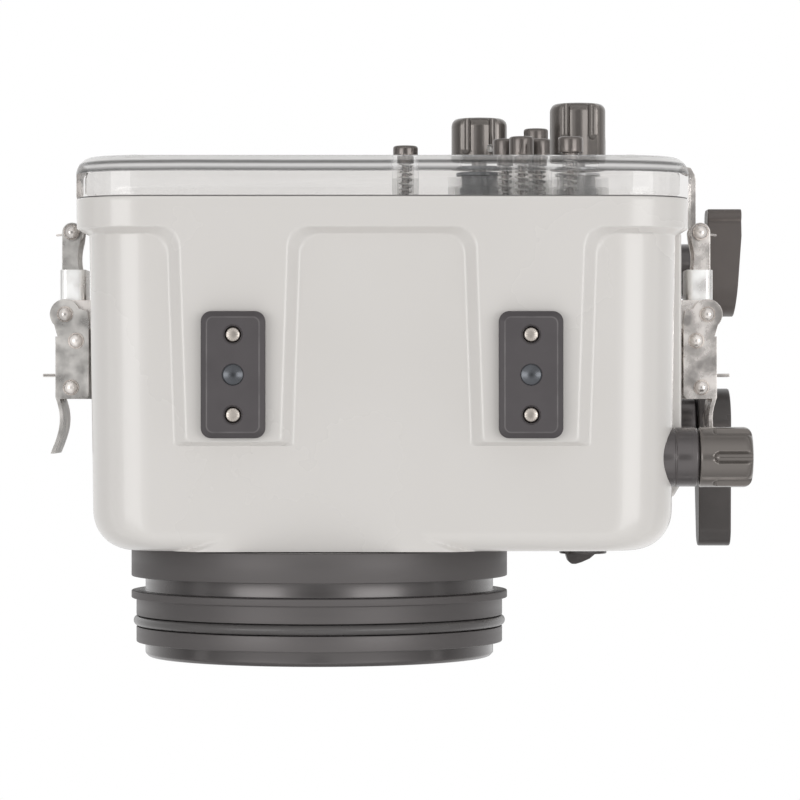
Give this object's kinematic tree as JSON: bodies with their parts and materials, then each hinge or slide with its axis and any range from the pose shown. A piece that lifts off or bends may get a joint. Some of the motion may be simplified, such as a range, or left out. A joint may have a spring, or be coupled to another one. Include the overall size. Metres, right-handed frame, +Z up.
{
  "type": "underwater camera housing",
  "caption": "Moulded underwater camera housing with a clear back, round lens port ring, draw latches, knobs, levers, sprung push buttons and tray plates.",
  "frame": {"origin": "under the middle of the whole housing, on the lower faces of the two tray plates", "axes": "+Z up, -Y out of the lens port, +Y out of the clear back, +X towards the side without levers"},
  "size_m": [0.216, 0.1708, 0.1537],
  "materials": {
    "shell": "glossy moulded",
    "clear_back": "clear polished",
    "anodised_plate": "satin anodised dark grey",
    "port_metal": "satin anodised dark grey",
    "control_plastic": "satin black-brown",
    "gland": "satin black",
    "button": "anodised bronze-grey",
    "rubber": "matt",
    "stainless": "polished stainless",
    "spring_steel": "drawn wire",
    "tray_alloy": "satin"
  },
  "bodies": {
    "housing": {"body_shell": "shell", "port_ring": "port_metal", "port_o_ring": "rubber", "tray_plate_left": "anodised_plate", "tray_plate_right": "anodised_plate", "plate_screw_left_front": "spring_steel", "plate_screw_left_rear": "spring_steel", "plate_screw_right_front": "spring_steel", "plate_screw_right_rear": "spring_steel", "camera_tray": "tray_alloy", "back_seal": "rubber", "side_knob_gland": "gland", "shutter_lever_gland": "gland", "rear_lever_gland": "gland", "lens_release_gland": "anodised_plate", "flash_bulkhead": "anodised_plate", "latch_base_left": "stainless", "latch_base_right": "stainless"},
    "camera_screw": {"tray_screw": "tray_alloy"},
    "clear_back": {"back_cover": "clear_back", "back_knob_inner_gland": "anodised_plate", "back_knob_outer_gland": "anodised_plate", "button_spring_menu": "spring_steel", "button_spring_left": "spring_steel", "button_spring_down": "spring_steel", "button_spring_right": "spring_steel", "button_spring_upper": "spring_steel", "button_spring_lower": "spring_steel"},
    "button_menu": {"push_button_menu": "button"},
    "button_left": {"push_button_left": "button"},
    "button_down": {"push_button_down": "button"},
    "button_right": {"push_button_right": "button"},
    "button_upper": {"push_button_upper": "button"},
    "button_lower": {"push_button_lower": "button"},
    "knob_inner": {"back_knob_inner": "control_plastic", "back_knob_inner_shaft": "spring_steel"},
    "knob_outer": {"back_knob_outer": "control_plastic", "back_knob_outer_shaft": "spring_steel"},
    "knob_side": {"side_knob": "control_plastic", "side_knob_shaft": "spring_steel"},
    "shutter": {"shutter_lever": "control_plastic", "shutter_lever_shaft": "spring_steel"},
    "rear_paddle": {"rear_lever": "control_plastic", "rear_lever_shaft": "spring_steel"},
    "lens_release": {"lens_release_lever": "control_plastic"},
    "cap": {"bulkhead_cap": "gland"},
    "latch_left_lever": {"latch_lever_left": "stainless", "latch_link_pin_left": "stainless"},
    "latch_left_link": {"latch_link_left": "stainless", "latch_hook_pin_left": "stainless"},
    "latch_left_hook": {"latch_hook_left": "stainless"},
    "latch_left_lock": {"latch_lock_tab_left": "stainless"},
    "latch_right_lever": {"latch_lever_right": "stainless", "latch_link_pin_right": "stainless"},
    "latch_right_link": {"latch_link_right": "stainless", "latch_hook_pin_right": "stainless"},
    "latch_right_hook": {"latch_hook_right": "stainless"},
    "latch_right_lock": {"latch_lock_tab_right": "stainless"}
  },
  "joints": [
    {"name": "camera_screw_turn", "type": "hinge", "parent": "housing", "child": "camera_screw", "pos_m": [0.02375, -0.0009, 0.016], "axis": [0, 0, 1], "continuous": true},
    {"name": "back_pull", "type": "slide", "parent": "housing", "child": "clear_back", "axis": [0, 1, 0], "range_m": [0, 0.05]},
    {"name": "press_menu", "type": "slide", "parent": "clear_back", "child": "button_menu", "axis": [0, -1, 0], "range_m": [0, 0.002], "stiffness_N_per_m": 400, "deforming": ["button_spring_menu"]},
    {"name": "press_left", "type": "slide", "parent": "clear_back", "child": "button_left", "axis": [0, -1, 0], "range_m": [0, 0.002], "stiffness_N_per_m": 400, "deforming": ["button_spring_left"]},
    {"name": "press_down", "type": "slide", "parent": "clear_back", "child": "button_down", "axis": [0, -1, 0], "range_m": [0, 0.002], "stiffness_N_per_m": 400, "deforming": ["button_spring_down"]},
    {"name": "press_right", "type": "slide", "parent": "clear_back", "child": "button_right", "axis": [0, -1, 0], "range_m": [0, 0.002], "stiffness_N_per_m": 400, "deforming": ["button_spring_right"]},
    {"name": "press_upper", "type": "slide", "parent": "clear_back", "child": "button_upper", "axis": [0, -1, 0], "range_m": [0, 0.002], "stiffness_N_per_m": 400, "deforming": ["button_spring_upper"]},
    {"name": "press_lower", "type": "slide", "parent": "clear_back", "child": "button_lower", "axis": [0, -1, 0], "range_m": [0, 0.002], "stiffness_N_per_m": 400, "deforming": ["button_spring_lower"]},
    {"name": "turn_inner", "type": "hinge", "parent": "clear_back", "child": "knob_inner", "pos_m": [-0.02564, 0.0511, 0.0964], "axis": [0, 1, 0], "continuous": true},
    {"name": "turn_outer", "type": "hinge", "parent": "clear_back", "child": "knob_outer", "pos_m": [-0.05682, 0.0511, 0.1006], "axis": [0, 1, 0], "continuous": true},
    {"name": "turn_side_knob", "type": "hinge", "parent": "housing", "child": "knob_side", "pos_m": [-0.08755, -0.0248, 0.0233], "axis": [1, 0, 0], "continuous": true},
    {"name": "press_shutter", "type": "hinge", "parent": "housing", "child": "shutter", "pos_m": [-0.09455, -0.0154, 0.098], "axis": [1, 0, 0], "range_deg": [0, 14], "stiffness_Nm_per_rad": 0.5},
    {"name": "press_rear_lever", "type": "hinge", "parent": "housing", "child": "rear_paddle", "pos_m": [-0.09655, 0.0325, 0.1], "axis": [-1, 0, 0], "range_deg": [0, 15], "stiffness_Nm_per_rad": 0.5},
    {"name": "turn_lens_release", "type": "hinge", "parent": "housing", "child": "lens_release", "pos_m": [-0.05655, -0.0524, 0.062], "axis": [0, 1, 0], "range_deg": [0, 30], "stiffness_Nm_per_rad": 0.3},
    {"name": "lift_cap", "type": "slide", "parent": "housing", "child": "cap", "axis": [0, 0, 1], "range_m": [0, 0.012]},
    {"name": "latch_left_open", "type": "hinge", "parent": "housing", "child": "latch_left_lever", "pos_m": [0.10045, 0.0179, 0.062], "axis": [0, 0, 1], "range_deg": [0, 100]},
    {"name": "latch_left_link_turn", "type": "hinge", "parent": "latch_left_lever", "child": "latch_left_link", "pos_m": [0.0971, 0.0099, 0.062], "axis": [0, 0, 1], "range_deg": [-112, 0]},
    {"name": "latch_left_hook_turn", "type": "hinge", "parent": "latch_left_link", "child": "latch_left_hook", "pos_m": [0.0987, 0.0428, 0.062], "axis": [0, 0, 1], "range_deg": [-32, 0]},
    {"name": "latch_left_lock_turn", "type": "hinge", "parent": "latch_left_lever", "child": "latch_left_lock", "pos_m": [0.09865, -0.0042, 0.062], "axis": [0, 0, -1], "range_deg": [0, 20]},
    {"name": "latch_right_open", "type": "hinge", "parent": "housing", "child": "latch_right_lever", "pos_m": [-0.09355, 0.0179, 0.062], "axis": [0, 0, -1], "range_deg": [0, 100]},
    {"name": "latch_right_link_turn", "type": "hinge", "parent": "latch_right_lever", "child": "latch_right_link", "pos_m": [-0.0902, 0.0099, 0.062], "axis": [0, 0, -1], "range_deg": [-112, 0]},
    {"name": "latch_right_hook_turn", "type": "hinge", "parent": "latch_right_link", "child": "latch_right_hook", "pos_m": [-0.0918, 0.0428, 0.062], "axis": [0, 0, -1], "range_deg": [-32, 0]},
    {"name": "latch_right_lock_turn", "type": "hinge", "parent": "latch_right_lever", "child": "latch_right_lock", "pos_m": [-0.09175, -0.0042, 0.062], "axis": [0, 0, 1], "range_deg": [0, 20]}
  ],
  "couplings": [
    {"joint": "latch_left_link_turn", "follows": "latch_left_open", "ratio": -1.1},
    {"joint": "latch_left_hook_turn", "follows": "latch_left_open", "ratio": -0.3},
    {"joint": "latch_right_link_turn", "follows": "latch_right_open", "ratio": -1.1},
    {"joint": "latch_right_hook_turn", "follows": "latch_right_open", "ratio": -0.3}
  ]
}
